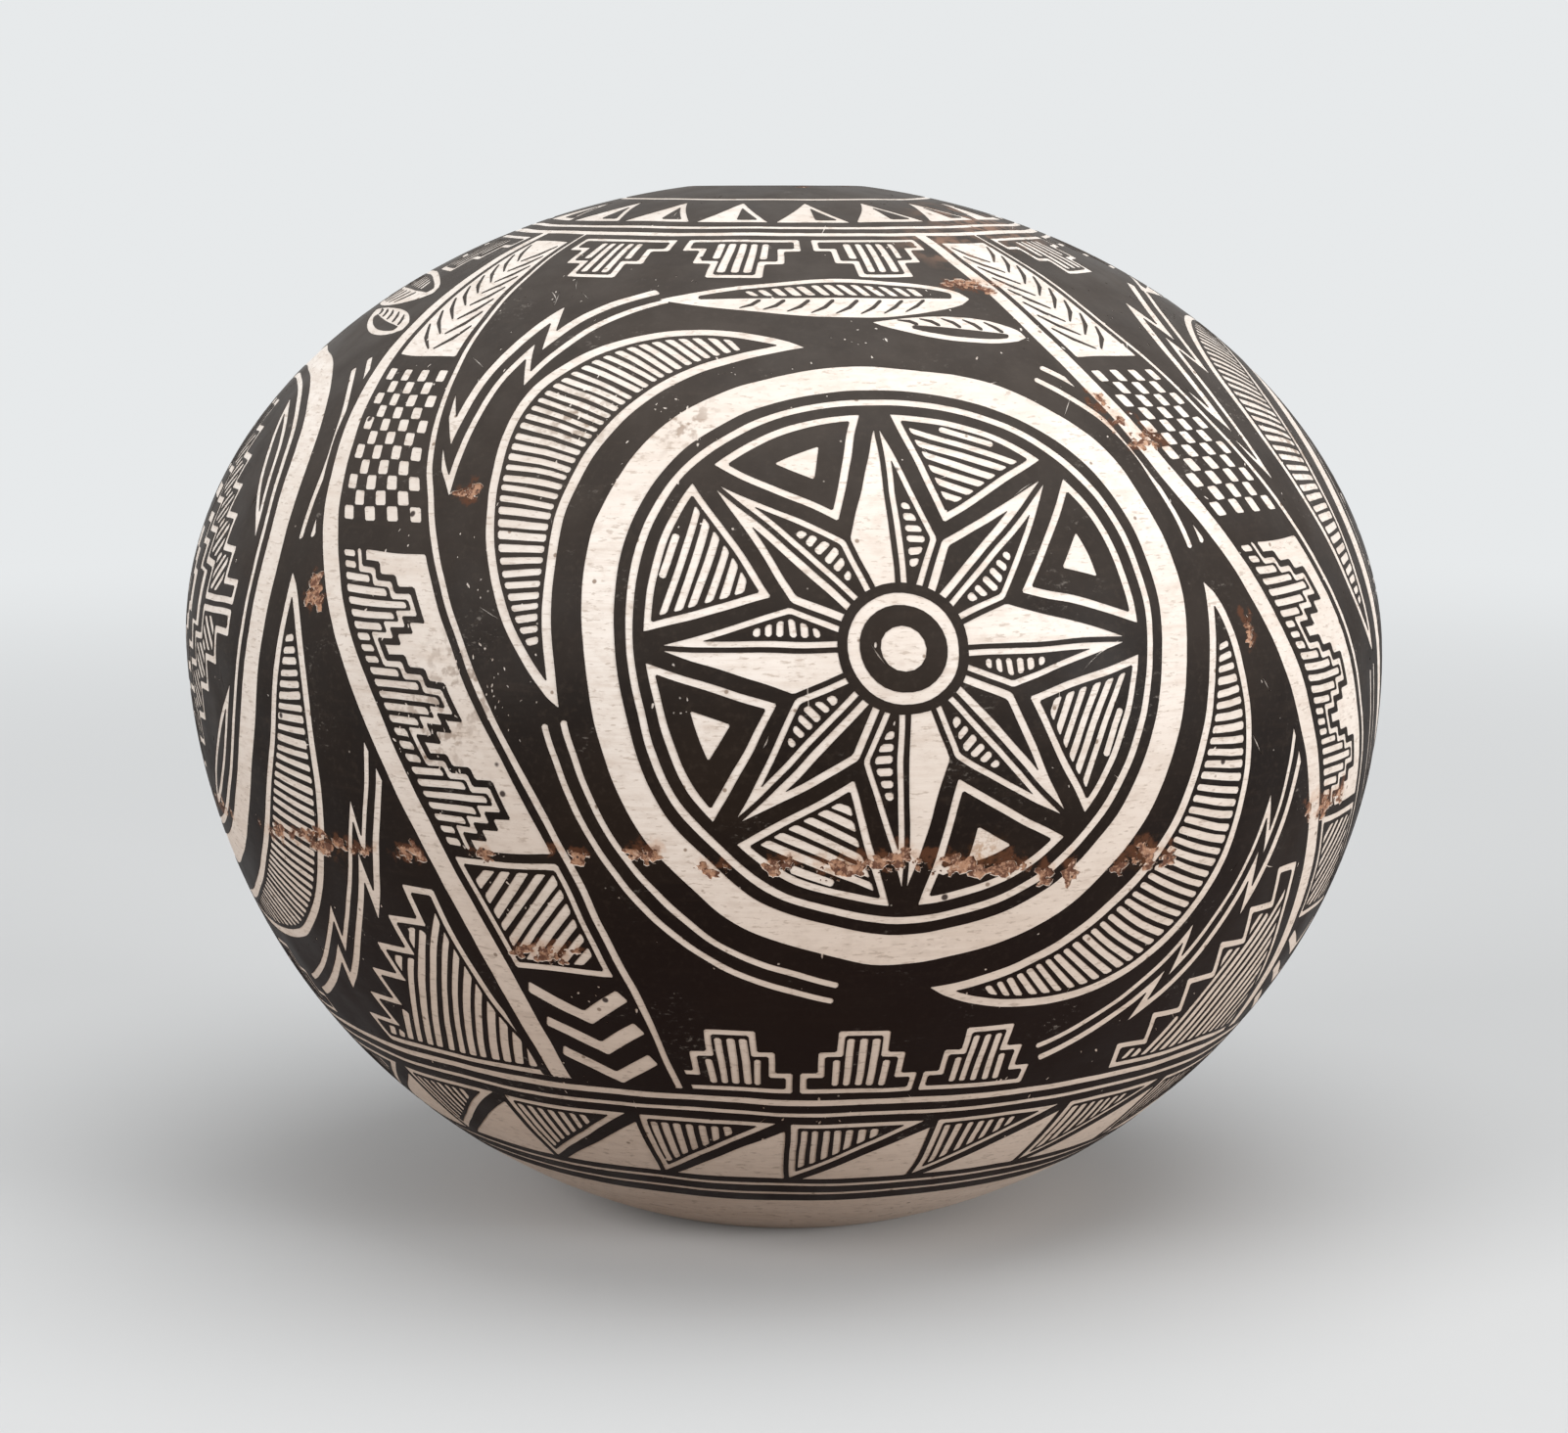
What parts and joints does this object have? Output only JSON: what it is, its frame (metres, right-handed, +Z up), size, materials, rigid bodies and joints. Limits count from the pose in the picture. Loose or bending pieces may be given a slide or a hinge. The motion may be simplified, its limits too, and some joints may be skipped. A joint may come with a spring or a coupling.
{
  "type": "seed pot",
  "caption": "Hollow egg-shaped clay seed pot with a small flat foot, one small round mouth and dark painted designs over pale slip.",
  "frame": {"origin": "on the table, under the centre of the foot", "axes": "+Z up the pot's axis towards the mouth, -Y towards the picture's camera, +X to the camera's right"},
  "size_m": [0.1398, 0.1398, 0.1183],
  "materials": {
    "pale_slip": "stone-polished satin slip with fine dark specks",
    "dark_paint": "satin mineral paint, near black with a brown cast",
    "fired_clay": "bare scraped clay, matt"
  },
  "bodies": {
    "root": {"pressed_base": "pale_slip", "wall_coil_01": "dark_paint", "wall_coil_02": "dark_paint", "wall_coil_03": "dark_paint", "wall_coil_04": "dark_paint", "wall_coil_05": "dark_paint", "wall_coil_06": "dark_paint", "wall_coil_07": "dark_paint", "wall_coil_08": "dark_paint", "wall_coil_09": "dark_paint", "wall_coil_10": "dark_paint", "wall_coil_11": "dark_paint", "wall_coil_12": "dark_paint", "mouth_lip": "dark_paint"}
  },
  "joints": []
}
